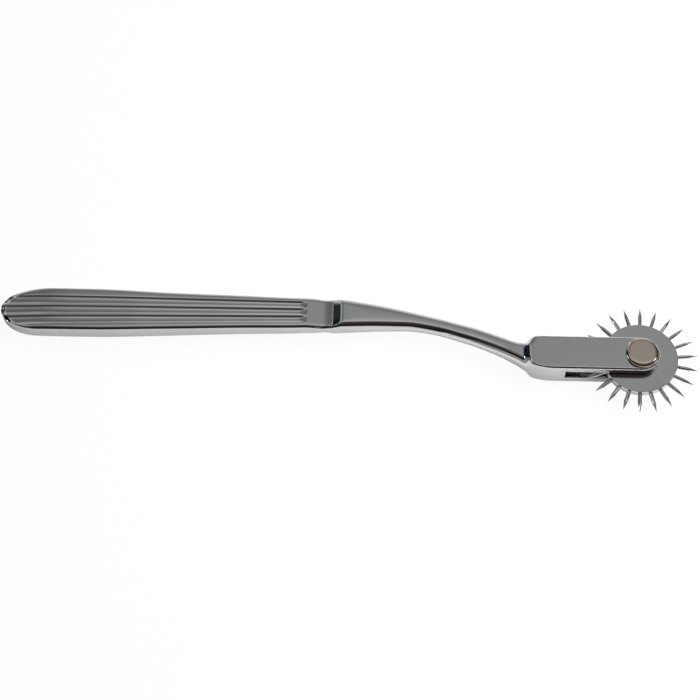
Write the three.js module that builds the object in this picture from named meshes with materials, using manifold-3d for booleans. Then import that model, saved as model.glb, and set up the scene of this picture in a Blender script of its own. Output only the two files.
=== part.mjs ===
// Neurological pinwheel: a one-piece forged handle, shank and fork that carries
// a disc of radial pins on a riveted axle. Millimetres, +Z up. The instrument lies on
// its side. +X runs from the handle's butt to the wheel, and the origin is on the
// wheel's axle line, in the flat lower face of the rivet.

import * as THREE from "three";
import { mergeVertices } from "three/addons/utils/BufferGeometryUtils.js";
import Module from "manifold-3d";

// Driving sizes

const handle = {
  length: 84.6,
  width: 13.2,
  thickness: 5.55,
  edgeRadius: 0.95,
  tipWidth: 2.4,
  tipOffset: 0.42,
  farButtLength: 14,
  nearButtLength: 10,
};

const flute = {
  count: 3,
  depth: 0.32,
  land: 0.12,
  farRidge: 3.6,
  nearRidgeAtButt: 5.95,
  nearRidgeAtNeck: 3,
  endReach: 0.35,
  endLift: 0.04,
  sideShare: 1.08,
  runOut: 2.2,
};

const scoop = {
  length: 6.9,
  width: 9.5,
  thickness: 3.15,
  stepLength: 1.9,
};

const shank = {
  length: 51.5,
  drop: 11.35,
  rootWidth: 8.9,
  waistWidth: 4.7,
  forkEndWidth: 8,
  rootThickness: 5.35,
  waistThickness: 4.35,
  forkEndThickness: 5.8,
  edgeRadius: 2.4,
};

const fork = {
  flatLength: 29.85,
  width: 9.85,
  thickness: 8.3,
  edgeRadius: 0.45,
  slotLength: 20.3,
  slotHeight: 3.45,
  rampHeight: 1.5,
  rampLength: 1.7,
  farCornerRadius: 3,
  nearCornerRadius: 2.6,
  nearBlendRadius: 7.5,
};

const wheel = {
  pins: 22,
  discRadius: 10.2,
  discThickness: 2.2,
  rimChamfer: 0.15,
  tipRadius: 15.85,
  firstPinAngle: 87,
};

const pin = {
  radius: 0.58,
  pointLength: 2.7,
  seatDepth: 2.4,
};

const rivet = {
  shankRadius: 2,
  headRadius: 4.4,
  headHeight: 1.1,
  flatRadius: 3.05,
  domeAngle: 30,
};

// Clearances and the overrun of cuts

const gap = {
  running: 0.08,
  underDisc: 0.8,
  pinSide: 0.04,
  pinRoot: 0.3,
};
const overrun = 2;

// Fineness of round shapes

const mesh = {
  cornerSteps: 3,
  outlineSteps: 7,
  earSteps: 18,
  edgeSteps: 2,
  fluteSteps: 5,
  runOutSteps: 4,
  pinSides: 8,
  axleSides: 36,
  domeSteps: 3,
  discSides: 66,
  buttSections: 9,
  sectionSpacing: 3.6,
};

// Places along the handle, measured from the butt

const scoopEnd = handle.length + scoop.length;
const stepTop = scoopEnd + scoop.stepLength;
const flatStart = stepTop + shank.length;
const axleReach = flatStart + fork.flatLength;
const midHeight = fork.thickness / 2 + rivet.headHeight;

// Shares of the sizes above, chosen by hand. Far is the side away from the bend,
// near is the side that the shank bends to.

const handleShares = [
  { along: 0, far: 0.925, near: 1.035, thick: 0.76 },
  { along: 0.07, far: 0.925, near: 1.045, thick: 0.82 },
  { along: 0.17, far: 0.93, near: 1.055, thick: 0.95 },
  { along: 0.31, far: 0.925, near: 1.04, thick: 1 },
  { along: 0.54, far: 0.83, near: 0.925, thick: 0.91 },
  { along: 0.78, far: 0.78, near: 0.79, thick: 0.835 },
  { along: 0.97, far: 0.735, near: 0.71, thick: 0.765 },
];

const scoopShares = [
  { along: -0.1, wide: 0.99, lean: 0.015, sink: 0.03 },
  { along: 0.05, wide: 0.99, lean: 0.01, sink: 0.13 },
  { along: 0.15, wide: 0.985, lean: 0.01, sink: 0.28 },
  { along: 0.25, wide: 0.98, lean: 0.005, sink: 0.47 },
  { along: 0.35, wide: 0.97, lean: 0, sink: 0.68 },
  { along: 0.45, wide: 0.965, lean: 0, sink: 0.88 },
  { along: 0.56, wide: 0.96, lean: 0, sink: 1 },
  { along: 0.69, wide: 0.957, lean: 0.005, sink: 0.88 },
  { along: 0.77, wide: 0.955, lean: 0.007, sink: 0.73 },
  { along: 0.86, wide: 0.953, lean: 0.01, sink: 0.54 },
  { along: 0.94, wide: 0.95, lean: 0.013, sink: 0.35 },
];

const shankShares = [
  { along: 0, drop: -0.016, wide: 1, thick: 1 },
  { along: 0.1, drop: 0, wide: 0.83, thick: 1 },
  { along: 0.19, drop: 0.02, wide: 0.61, thick: 0.75 },
  { along: 0.275, drop: 0.05, wide: 0.41, thick: 0.4 },
  { along: 0.36, drop: 0.088, wide: 0.17, thick: 0.22 },
  { along: 0.44, drop: 0.152, wide: 0.05, thick: 0.08 },
  { along: 0.53, drop: 0.238, wide: 0, thick: 0 },
];

const shankEndShares = [
  { along: 0.61, drop: 0.345, wide: 0.03, thick: 0.08 },
  { along: 0.7, drop: 0.463, wide: 0.11, thick: 0.12 },
  { along: 0.785, drop: 0.606, wide: 0.18, thick: 0.22 },
  { along: 0.87, drop: 0.766, wide: 0.27, thick: 0.5 },
  { along: 0.955, drop: 0.944, wide: 0.52, thick: 0.85 },
  { along: 0.985, drop: 0.995, wide: 0.84, thick: 0.9 },
  { along: 1.04, drop: 1.046, wide: 1, thick: 1 },
];

// The most that a corner takes of the width and of the half thickness that it rounds.
const cornerShare = 0.42;
const cornerDepthShare = 0.82;

// Solids and meshes

const wasm = await Module();
wasm.setup();

function solidFrom(geometry) {
  const bare = geometry.clone();
  bare.deleteAttribute("normal");
  bare.deleteAttribute("uv");
  const merged = mergeVertices(bare);
  const vertProperties = new Float32Array(merged.attributes.position.array);
  const triVerts = new Uint32Array(merged.index.array);
  return new wasm.Manifold(new wasm.Mesh({ numProp: 3, vertProperties, triVerts }));
}

function geometryFrom(solid) {
  const { vertProperties, triVerts } = solid.getMesh();
  const geometry = new THREE.BufferGeometry();
  geometry.setAttribute("position", new THREE.BufferAttribute(vertProperties, 3));
  geometry.setIndex(new THREE.BufferAttribute(triVerts, 1));
  geometry.computeVertexNormals();
  return geometry;
}

// Closed skin over a row of rings with equal numbers of points. Each ring runs
// anticlockwise as seen from the end that the row leads to.
function skinOver(rings) {
  const size = rings[0].length;
  const faces = [];
  const first = THREE.ShapeUtils.triangulateShape(flattened(rings[0]), []);
  const last = THREE.ShapeUtils.triangulateShape(flattened(rings[rings.length - 1]), []);
  const lastStart = (rings.length - 1) * size;
  for (const [a, b, c] of first) faces.push(a, c, b);
  for (let r = 0; r < rings.length - 1; r++) {
    for (let i = 0; i < size; i++) {
      const next = (i + 1) % size;
      const low = r * size;
      const high = low + size;
      faces.push(low + i, low + next, high + next);
      faces.push(low + i, high + next, high + i);
    }
  }
  for (const [a, b, c] of last) faces.push(lastStart + a, lastStart + b, lastStart + c);
  const geometry = new THREE.BufferGeometry().setFromPoints(rings.flat());
  geometry.setIndex(faces);
  geometry.computeVertexNormals();
  return geometry;
}

// The ring's own plane is either across the handle (equal x) or level (equal z).
function flattened(ring) {
  const level = ring.every((point) => point.z === ring[0].z);
  return ring.map(({ x, y, z }) => (level ? new THREE.Vector2(x, y) : new THREE.Vector2(y, z)));
}

// Smooth curve through rows of { x, value }, with no overshoot between them.
function smoothThrough(rows, key) {
  const slopes = rows.slice(1).map((row, i) => (row[key] - rows[i][key]) / (row.x - rows[i].x));
  const tangents = rows.map((row, i) => {
    const before = slopes[Math.max(i - 1, 0)];
    const after = slopes[Math.min(i, slopes.length - 1)];
    return before * after > 0 ? (2 * before * after) / (before + after) : 0;
  });
  return (x) => {
    const found = rows.findIndex((row) => row.x >= x);
    const high = found < 0 ? rows.length - 1 : Math.max(found, 1);
    const low = high - 1;
    const span = rows[high].x - rows[low].x;
    const t = Math.min(Math.max((x - rows[low].x) / span, 0), 1);
    const rise = 3 * t * t - 2 * t * t * t;
    const start = t * (1 - t) * (1 - t) * span * tangents[low];
    const end = t * t * (t - 1) * span * tangents[high];
    return rows[low][key] + (rows[high][key] - rows[low][key]) * rise + start + end;
  };
}

// The forging's plan and thickness along its length. Across is +Y from the handle's
// centre line, and the fork's centre line lies the shank's drop below it.

function handleRows() {
  return handleShares.map(({ along, far, near, thick }) => ({
    x: along * handle.length,
    far: (far * handle.width) / 2,
    near: (-near * handle.width) / 2,
    thickness: thick * handle.thickness,
    corner: handle.edgeRadius,
  }));
}

function scoopRows() {
  const neckThickness = handleShares[handleShares.length - 1].thick * handle.thickness;
  return scoopShares.map(({ along, wide, lean, sink }) => ({
    x: handle.length + along * scoop.length,
    far: (wide / 2 + lean) * scoop.width,
    near: (lean - wide / 2) * scoop.width,
    thickness: neckThickness + sink * (scoop.thickness - neckThickness),
    corner: handle.edgeRadius,
  }));
}

function shankRow({ along, drop, wide, thick }, widthEnd, thicknessEnd) {
  const width = shank.waistWidth + wide * (widthEnd - shank.waistWidth);
  const middle = -drop * shank.drop;
  return {
    x: stepTop + along * shank.length,
    far: middle + width / 2,
    near: middle - width / 2,
    thickness: shank.waistThickness + thick * (thicknessEnd - shank.waistThickness),
    corner: Math.min(shank.edgeRadius, width * cornerShare),
  };
}

function forgingRows() {
  const root = shankShares.map((row) => shankRow(row, shank.rootWidth, shank.rootThickness));
  const end = shankEndShares.map((row) => shankRow(row, shank.forkEndWidth, shank.forkEndThickness));
  return [...handleRows(), ...scoopRows(), ...root, ...end];
}

const rows = forgingRows();
const farAt = smoothThrough(rows, "far");
const nearAt = smoothThrough(rows, "near");
const thicknessAt = smoothThrough(rows, "thickness");
const cornerAt = smoothThrough(rows, "corner");

// Half of the butt's rounded plan: a share of the full half width, from 0 at the tip.
function buttShare(x, length) {
  const left = Math.max(1 - x / length, 0);
  return Math.sqrt(1 - left * left);
}

function planAt(x) {
  if (x >= handle.farButtLength) return { far: farAt(x), near: nearAt(x) };
  const far = (farAt(x) + handle.tipOffset) * buttShare(x, handle.farButtLength);
  const near = (-nearAt(x) - handle.tipOffset) * buttShare(x, handle.nearButtLength);
  return {
    far: Math.max(far, handle.tipWidth / 2) - handle.tipOffset,
    near: -Math.max(near, handle.tipWidth / 2) - handle.tipOffset,
  };
}

function sectionPlaces() {
  const places = [];
  for (let i = 0; i < mesh.buttSections; i++) {
    const turn = (i / mesh.buttSections) * (Math.PI / 2);
    places.push(handle.farButtLength * (1 - Math.cos(turn)));
  }
  const later = rows.map((row) => row.x).filter((x) => x > handle.farButtLength);
  const stops = [handle.farButtLength, ...later];
  for (let i = 0; i < stops.length - 1; i++) {
    const parts = Math.ceil((stops[i + 1] - stops[i]) / mesh.sectionSpacing);
    for (let k = 0; k < parts; k++) places.push(stops[i] + (k / parts) * (stops[i + 1] - stops[i]));
  }
  places.push(stops[stops.length - 1]);
  return places;
}

// Cross section at one place: a rectangle with round corners, flatter where it is thin.
function sectionRing(x) {
  const { far, near } = planAt(x);
  const half = thicknessAt(x) / 2;
  const radius = Math.min(cornerAt(x), (far - near) * cornerShare);
  const depth = Math.min(radius, half * cornerDepthShare);
  const corners = [
    [far - radius, half - depth],
    [near + radius, half - depth],
    [near + radius, depth - half],
    [far - radius, depth - half],
  ];
  return corners.flatMap(([y, z], quarter) =>
    Array.from({ length: mesh.cornerSteps + 1 }, (unused, i) => {
      const turn = (quarter + i / mesh.cornerSteps) * (Math.PI / 2);
      return new THREE.Vector3(x, y + radius * Math.cos(turn), z + depth * Math.sin(turn));
    }),
  );
}

// One flute's cutter on the upper face: a hollow below, closed well above the face. Its
// fading is 0 at the full depth and 1 where the hollow has run out.
function fluteRing(x, index, fading) {
  const taper = flute.nearRidgeAtNeck - flute.nearRidgeAtButt;
  const nearRidge = flute.nearRidgeAtButt + (x / handle.length) * taper;
  const pitch = (flute.farRidge + nearRidge) / flute.count;
  const centre = flute.farRidge - (index + 1 / 2) * pitch;
  const half = (pitch - flute.land) / 2;
  const face = thicknessAt(Math.max(x, 0)) / 2;
  const depth = flute.depth * (1 - fading);
  const lift = flute.endLift * fading;
  const hollow = Array.from({ length: mesh.fluteSteps + 1 }, (unused, i) => {
    const aside = flute.sideShare * ((2 * i) / mesh.fluteSteps - 1);
    const sunk = depth * (1 - aside * aside);
    return new THREE.Vector3(x, centre + half * aside, face - sunk + lift);
  });
  const side = flute.sideShare * half;
  const top = face + overrun;
  return [...hollow, new THREE.Vector3(x, centre + side, top), new THREE.Vector3(x, centre - side, top)];
}

function fluteCutter(index) {
  const end = handle.length + flute.endReach;
  const start = end - flute.runOut;
  const places = [-overrun, ...sectionPlaces().filter((x) => x > 0 && x < start)];
  const full = [...places, start].map((x) => fluteRing(x, index, 0));
  const rising = Array.from({ length: mesh.runOutSteps }, (unused, i) => {
    const share = (i + 1) / mesh.runOutSteps;
    return fluteRing(start + share * flute.runOut, index, share * share * (3 - 2 * share));
  });
  return solidFrom(skinOver([...full, ...rising]));
}

// The fork's plan outline at one level, shrunk by an inset on all sides.
function forkRing(z, inset, left, nearRadius) {
  const half = fork.width / 2 - inset;
  const farCorner = fork.farCornerRadius - inset;
  const nearCorner = nearRadius - inset;
  const end = left + inset;
  const points = [];
  const arc = (x, y, radius, from, to, steps) => {
    for (let i = 0; i <= steps; i++) {
      const turn = from + (i / steps) * (to - from);
      points.push(new THREE.Vector3(x + radius * Math.cos(turn), y + radius * Math.sin(turn), z));
    }
  };
  arc(0, 0, half, -Math.PI / 2, Math.PI / 2, mesh.earSteps);
  arc(end + farCorner, half - farCorner, farCorner, Math.PI / 2, Math.PI, mesh.outlineSteps);
  arc(end + nearCorner, nearCorner - half, nearCorner, -Math.PI, -Math.PI / 2, mesh.outlineSteps);
  return points;
}

function forkSolid() {
  const half = fork.thickness / 2;
  const top = half - fork.edgeRadius;
  const rampFoot = half - fork.rampHeight;
  const edge = Array.from({ length: mesh.edgeSteps + 1 }, (unused, i) => {
    const turn = (i / mesh.edgeSteps) * (Math.PI / 2);
    return { z: top + fork.edgeRadius * Math.sin(turn), inset: fork.edgeRadius * (1 - Math.cos(turn)) };
  });
  const upper = [{ z: rampFoot, inset: 0 }, ...edge];
  const levels = [...upper.map(({ z, inset }) => ({ z: -z, inset })).reverse(), ...upper];
  const rings = levels.map(({ z, inset }) => {
    const down = Math.min((half - Math.abs(z)) / fork.rampHeight, 1);
    const nearRadius = fork.nearCornerRadius + down * (fork.nearBlendRadius - fork.nearCornerRadius);
    return forkRing(z, inset, -fork.flatLength - down * fork.rampLength, nearRadius);
  });
  return solidFrom(skinOver(rings));
}

function slotCutter() {
  const length = fork.slotLength + fork.width / 2 + overrun;
  const box = new THREE.BoxGeometry(length, fork.width + 2 * overrun, fork.slotHeight);
  return solidFrom(box.translate(length / 2 - fork.slotLength, 0, 0));
}

function axleCutter() {
  const radius = rivet.shankRadius + gap.running;
  const bore = new THREE.CylinderGeometry(radius, radius, fork.thickness + 2 * overrun, mesh.axleSides);
  return solidFrom(bore.rotateX(Math.PI / 2));
}

// Handle, neck, shank and fork are one forging.
function forgingGeometry() {
  const bar = solidFrom(skinOver(sectionPlaces().map(sectionRing)));
  const cutters = Array.from({ length: flute.count }, (unused, i) => fluteCutter(i));
  const fluted = cutters.reduce(
    (body, cutter) => body.subtract(cutter).subtract(cutter.mirror([0, 0, 1])),
    bar,
  );
  const placed = fluted.translate([-axleReach, shank.drop, 0]);
  return geometryFrom(placed.add(forkSolid()).subtract(slotCutter()).subtract(axleCutter()));
}

// The disc lies low in the slot, with blind radial holes for the pins.
function discGeometry() {
  const half = wheel.discThickness / 2;
  const bore = rivet.shankRadius + gap.running;
  const rim = wheel.discRadius;
  const profile = [
    [bore, -half],
    [rim - wheel.rimChamfer, -half],
    [rim, wheel.rimChamfer - half],
    [rim, half - wheel.rimChamfer],
    [rim - wheel.rimChamfer, half],
    [bore, half],
    [bore, -half],
  ].map(([r, y]) => new THREE.Vector2(r, y));
  const blank = solidFrom(new THREE.LatheGeometry(profile, mesh.discSides).rotateX(Math.PI / 2));
  const depth = pin.seatDepth + gap.pinRoot;
  const radius = pin.radius + gap.pinSide;
  const hole = new THREE.CylinderGeometry(radius, radius, depth + overrun, mesh.pinSides);
  hole.translate(0, wheel.discRadius - depth + (depth + overrun) / 2, 0);
  const drill = solidFrom(hole);
  const turns = Array.from({ length: wheel.pins }, (unused, i) => (i * 360) / wheel.pins);
  return geometryFrom(turns.reduce((body, turn) => body.subtract(drill.rotate([0, 0, turn])), blank));
}

// A pin stands along +Y, its root in the disc and its point at the wheel's tip circle.
function pinGeometry() {
  const root = wheel.discRadius - pin.seatDepth;
  const profile = [
    [0, root],
    [pin.radius, root],
    [pin.radius, wheel.tipRadius - pin.pointLength],
    [0, wheel.tipRadius],
  ].map(([r, y]) => new THREE.Vector2(r, y));
  return new THREE.LatheGeometry(profile, mesh.pinSides);
}

// The axle is one rivet with a smooth, low-domed head on each side of the fork.
function rivetGeometry() {
  const seat = fork.thickness / 2;
  const face = seat + rivet.headHeight;
  const lean = THREE.MathUtils.degToRad(rivet.domeAngle);
  const bend = (rivet.headRadius - rivet.flatRadius) / Math.sin(lean);
  const dome = Array.from({ length: mesh.domeSteps + 1 }, (unused, i) => {
    const turn = lean * (1 - i / mesh.domeSteps);
    return [rivet.flatRadius + bend * Math.sin(turn), face - bend * (1 - Math.cos(turn))];
  });
  const upper = [[rivet.shankRadius, seat], [rivet.headRadius, seat], ...dome, [0, face]];
  const lower = upper.map(([r, y]) => [r, -y]).reverse();
  const profile = [...lower, ...upper].map(([r, y]) => new THREE.Vector2(r, y));
  return new THREE.LatheGeometry(profile, mesh.axleSides).rotateX(Math.PI / 2);
}

// Materials

const polished = { metalness: 1, roughness: 0.12 };
const forgingSteel = new THREE.MeshStandardMaterial({ color: 0x8f9090, ...polished });
const discSteel = new THREE.MeshStandardMaterial({ color: 0x8b8c8c, ...polished });
const pinSteel = new THREE.MeshStandardMaterial({ color: 0xa2a4a4, ...polished });
const rivetNickel = new THREE.MeshStandardMaterial({ color: 0x8f877d, metalness: 1, roughness: 0.2 });

function part(name, geometry, material) {
  const piece = new THREE.Mesh(geometry, material);
  piece.name = name;
  return piece;
}

// Assembly

const instrument = new THREE.Group();
instrument.position.z = midHeight;
instrument.add(part("forged_handle", forgingGeometry(), forgingSteel));
instrument.add(part("axle_rivet", rivetGeometry(), rivetNickel));

const pinwheel = new THREE.Group();
pinwheel.position.z = gap.underDisc + wheel.discThickness / 2 - fork.slotHeight / 2;
pinwheel.rotation.z = THREE.MathUtils.degToRad(wheel.firstPinAngle) - Math.PI / 2;
pinwheel.add(part("wheel_disc", discGeometry(), discSteel));
for (let i = 0; i < wheel.pins; i++) {
  const name = `pin_${String(i + 1).padStart(2, "0")}`;
  const piece = part(name, pinGeometry(), pinSteel);
  piece.rotation.z = (-i * 2 * Math.PI) / wheel.pins;
  pinwheel.add(piece);
}
instrument.add(pinwheel);

export default instrument;
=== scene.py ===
# Neurological pinwheel: the fine surfaces and finishes of a one-piece forging that
# carries a disc of radial pins on a riveted axle. The sizes below are in millimetres,
# and every mesh is written in metres in the frame of the solids: the origin is on the
# axle line, in the flat lower face of the rivet, and +X runs from butt to wheel.

import math
from types import SimpleNamespace as Sizes

import bmesh
import bpy
import numpy as np
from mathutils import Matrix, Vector


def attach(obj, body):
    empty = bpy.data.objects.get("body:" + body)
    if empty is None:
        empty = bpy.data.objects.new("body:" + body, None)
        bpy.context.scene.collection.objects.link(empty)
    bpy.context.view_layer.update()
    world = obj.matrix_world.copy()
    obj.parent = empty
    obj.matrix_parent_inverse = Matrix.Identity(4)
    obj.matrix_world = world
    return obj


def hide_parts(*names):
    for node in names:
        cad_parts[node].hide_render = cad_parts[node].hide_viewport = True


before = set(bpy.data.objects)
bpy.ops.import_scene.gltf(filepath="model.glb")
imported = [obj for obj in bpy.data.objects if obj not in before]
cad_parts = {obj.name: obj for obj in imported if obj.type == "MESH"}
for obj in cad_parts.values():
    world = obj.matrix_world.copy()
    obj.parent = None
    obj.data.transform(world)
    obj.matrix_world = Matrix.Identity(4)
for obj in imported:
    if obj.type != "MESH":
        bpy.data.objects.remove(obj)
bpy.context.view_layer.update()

# Driving sizes of the forging

MM = 0.001

handle = Sizes(
    length=84.6, width=13.2, thickness=5.55, edge_radius=0.95,
    tip_offset=0.42, far_butt_length=14.0, near_butt_length=10.0, butt_edge_radius=0.5,
)
flute = Sizes(
    count=3, depth=0.32, land=0.12, far_ridge=3.6, near_ridge_at_butt=5.95,
    near_ridge_at_neck=3.0, end_reach=0.35, run_out=3.1, end_lift=0.04, softness=0.04,
    butt_sink=0.4, butt_share=0.14, butt_fade=4.5,
)
scoop = Sizes(
    length=6.9, width=9.5, thickness=3.15, step_length=1.9, near_turn=1.7, far_turn=0.8,
    step_foot=-0.3, step_softness=0.03, lip_setback=0.2, lip_length=0.85, lip_slope=0.19,
    lip_softness=0.02,
)
shank = Sizes(
    length=51.5, drop=11.35, root_width=8.9, waist_width=4.7, fork_end_width=8.0,
    root_thickness=5.35, waist_thickness=4.35, fork_end_thickness=5.8, edge_radius=1.6,
)
fork = Sizes(
    flat_length=29.85, width=9.85, thickness=8.3, edge_radius=0.45, slot_length=20.3,
    slot_height=3.45, slot_chamfer=0.15, far_corner_radius=3.0, near_blend_radius=7.5,
    wall_softness=0.9, outline_fall=4.0, foot_softness=0.4, face_setback=0.5,
    face_far_radius=3.7, lip_near_radius=3.2, lip_width=0.9, lip_slope=0.268, lip_softness=0.1,
    ramp_near_radius=4.5, ramp_length=1.7, ramp_slope=0.95, ramp_softness=0.2,
)

# Driving sizes of the wheel and its rivet

wheel = Sizes(
    pins=22, radius=10.2, thickness=2.2, rim_radius=0.16, tip_radius=15.85,
    first_pin_angle=87.0, gap_under=0.8,
)
pin = Sizes(
    radius=0.58, point_length=2.7, seat_depth=2.4, hole_gap=0.04, root_gap=0.3,
    tip_round=0.035, shoulder_share=0.985, shoulder_rise=1 / 3,
)
rivet = Sizes(
    shank_radius=2.0, head_radius=4.4, head_height=1.1, flat_radius=3.05, dome_angle=30,
    edge_radius=0.2, crown=0.02, running_gap=0.08,
)

scoop_end = handle.length + scoop.length
step_top = scoop_end + scoop.step_length
fork_start = step_top + shank.length
axle_reach = fork_start + fork.flat_length
middle_height = fork.thickness / 2 + rivet.head_height
disc_middle = middle_height + wheel.gap_under + wheel.thickness / 2 - fork.slot_height / 2

# Shares of the sizes above, along the handle, the scoop and the shank

handle_shares = [
    dict(along=0.0, far=0.925, near=1.035, thick=0.76),
    dict(along=0.07, far=0.925, near=1.045, thick=0.82),
    dict(along=0.17, far=0.93, near=1.055, thick=0.95),
    dict(along=0.31, far=0.925, near=1.04, thick=1.0),
    dict(along=0.54, far=0.83, near=0.925, thick=0.91),
    dict(along=0.78, far=0.78, near=0.79, thick=0.835),
    dict(along=0.97, far=0.735, near=0.71, thick=0.765),
]
scoop_shares = [
    dict(along=-0.1, wide=0.99, lean=0.015, sink=0.03),
    dict(along=0.05, wide=0.99, lean=0.01, sink=0.13),
    dict(along=0.15, wide=0.995, lean=0.015, sink=0.28),
    dict(along=0.25, wide=0.998, lean=0.014, sink=0.47),
    dict(along=0.35, wide=0.99, lean=0.01, sink=0.68),
    dict(along=0.45, wide=0.985, lean=0.01, sink=0.88),
    dict(along=0.5, wide=0.98, lean=0.01, sink=0.97),
    dict(along=0.56, wide=0.977, lean=0.0085, sink=1.0),
    dict(along=0.62, wide=0.968, lean=0.004, sink=0.972),
    dict(along=0.69, wide=0.957, lean=0.005, sink=0.905),
    dict(along=0.77, wide=0.945, lean=0.002, sink=0.785),
    dict(along=0.86, wide=0.935, lean=0.001, sink=0.63),
    dict(along=0.95, wide=0.934, lean=0.005, sink=0.47),
]
shank_shares = [
    dict(along=0.0, drop=-0.016, wide=1.0, thick=1.0),
    dict(along=0.1, drop=0.0, wide=0.83, thick=1.0),
    dict(along=0.19, drop=0.02, wide=0.61, thick=0.75),
    dict(along=0.275, drop=0.05, wide=0.41, thick=0.4),
    dict(along=0.36, drop=0.088, wide=0.17, thick=0.22),
    dict(along=0.44, drop=0.152, wide=0.05, thick=0.08),
    dict(along=0.53, drop=0.238, wide=0.0, thick=0.0),
]
shank_end_shares = [
    dict(along=0.61, drop=0.345, wide=0.03, thick=0.08),
    dict(along=0.7, drop=0.463, wide=0.11, thick=0.12),
    dict(along=0.785, drop=0.606, wide=0.18, thick=0.22),
    dict(along=0.87, drop=0.766, wide=0.27, thick=0.5),
    dict(along=0.955, drop=0.944, wide=0.52, thick=0.85),
    dict(along=0.985, drop=0.995, wide=0.84, thick=0.9),
    dict(along=1.04, drop=1.046, wide=1.0, thick=1.0),
]
corner_share = 0.48
corner_depth_share = 0.82
corner_rise = 1.2

# The faces roll off softly before their edges: the roll's width, and its slope at the edge
roll = Sizes(handle=1.0, shank=3.0, fork=0.6, slope=0.15, grow=6.0)
land_shares = (0, 0.04, 0.3, 0.65)
crown_shares = (0.97, 0.8, 0.6, 0.4, 0.2, 0.0)

# Fineness: steps in millimetres along the forging, and counts around it

fine = Sizes(
    table_step=0.05, butt_rings=76, handle_step=0.9, neck_step=0.09, shank_step=0.5,
    ramp_step=0.07, fork_step=1.2, corner=9, flute=14, edge_support=0.04,
    ear_end=40, ceiling=8, turned=96, pin_sides=20, bore_sides=48,
    disc_rim=4, head_dome=12, head_edge=6, pin_tip=3, same_place_digits=6,
)
# Faces that meet at more than this many degrees keep a sharp edge between them
sharp = Sizes(metal=38, point=50)
join_distance = 2e-7
bend_spread = 1.6
outline_spread = 0.9
neck_spread = 0.16


# Smooth curves along the forging


def eased(rows, key, places):
    """Smooth curve through rows of {x, value}, with no overshoot between them."""
    x = np.array([row["x"] for row in rows])
    v = np.array([row[key] for row in rows])
    slope = np.diff(v) / np.diff(x)
    before = np.concatenate([slope[:1], slope])
    after = np.concatenate([slope, slope[-1:]])
    same = before * after > 0
    total = np.where(same, before + after, 1)
    tangent = np.where(same, 2 * before * after / total, 0)
    high = np.clip(np.searchsorted(x, places), 1, len(x) - 1)
    low = high - 1
    span = x[high] - x[low]
    t = np.clip((places - x[low]) / span, 0, 1)
    rise = 3 * t**2 - 2 * t**3
    start = t * (1 - t) ** 2 * span * tangent[low]
    end = t**2 * (t - 1) * span * tangent[high]
    return v[low] + (v[high] - v[low]) * rise + start + end


def blurred(values, spread):
    """Values on the even table, smoothed over a spread in millimetres, ends kept."""
    reach = int(3 * spread / fine.table_step)
    steps = np.arange(-reach, reach + 1) * fine.table_step
    kernel = np.exp(-0.5 * (steps / spread) ** 2)
    padded = np.pad(values, reach, mode="reflect", reflect_type="odd")
    return np.convolve(padded, kernel / kernel.sum(), "valid")


def soft_max(a, b, softness):
    """The larger of two heights, filleted where they are within the softness."""
    near = np.clip(1 - np.abs(a - b) / softness, 0, 1)
    return np.maximum(a, b) + near**2 * softness / 4


def soft_min(a, b, softness):
    return -soft_max(-a, -b, softness)


def smooth_step(x, start, end):
    t = np.clip((x - start) / (end - start), 0, 1)
    return t * t * (3 - 2 * t)


def handle_rows():
    rows = []
    for share in handle_shares:
        rows.append(dict(
            x=share["along"] * handle.length,
            far=share["far"] * handle.width / 2,
            near=-share["near"] * handle.width / 2,
            half=share["thick"] * handle.thickness / 2,
            corner=handle.edge_radius,
        ))
    return rows


def scoop_rows():
    neck = handle_shares[-1]["thick"] * handle.thickness
    rows = []
    for share in scoop_shares:
        rows.append(dict(
            x=handle.length + share["along"] * scoop.length,
            far=(share["wide"] / 2 + share["lean"]) * scoop.width,
            near=(share["lean"] - share["wide"] / 2) * scoop.width,
            half=(neck + share["sink"] * (scoop.thickness - neck)) / 2,
            corner=handle.edge_radius,
        ))
    return rows


def shank_rows(shares, width_end, thickness_end):
    rows = []
    for share in shares:
        width = shank.waist_width + share["wide"] * (width_end - shank.waist_width)
        thickness = shank.waist_thickness + share["thick"] * (thickness_end - shank.waist_thickness)
        middle = -share["drop"] * shank.drop
        rows.append(dict(
            x=step_top + share["along"] * shank.length,
            far=middle + width / 2,
            near=middle - width / 2,
            half=thickness / 2,
            corner=min(shank.edge_radius, width * corner_share),
        ))
    return rows


shank_root = shank_rows(shank_shares, shank.root_width, shank.root_thickness)
shank_end = shank_rows(shank_end_shares, shank.fork_end_width, shank.fork_end_thickness)
bar_rows = handle_rows() + scoop_rows() + shank_root + shank_end
table = np.arange(0, axle_reach + fine.table_step, fine.table_step)


def blurred_beside_neck(values):
    """Strong smoothing on the handle and the shank, light smoothing at the neck."""
    wide = blurred(values, bend_spread)
    light = blurred(values, neck_spread)
    reach = 3 * bend_spread
    keep = smooth_step(table, handle.length - 2 * reach, handle.length - reach)
    leave = smooth_step(table, step_top + reach, step_top + 2 * reach)
    neck = keep * (1 - leave)
    return wide * (1 - neck) + light * neck


def stepped_half():
    """Half the bar's thickness, with a straight step between the scoop and the shank."""
    before = eased(handle_rows() + scoop_rows(), "half", table)
    after = eased(shank_root + shank_end, "half", table)
    foot = scoop_end + scoop.step_foot
    crest = step_top - scoop.lip_setback
    foot_height = before[np.searchsorted(table, foot)]
    lip_height = shank.root_thickness / 2 - scoop.lip_slope * scoop.lip_length
    rise = (lip_height - foot_height) / (crest - foot)
    lower = soft_max(before, foot_height + rise * (table - foot), scoop.step_softness)
    lip = np.where(table < foot, after, lip_height + scoop.lip_slope * (table - crest))
    return soft_min(lower, soft_min(lip, after, scoop.lip_softness), scoop.lip_softness)


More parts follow.
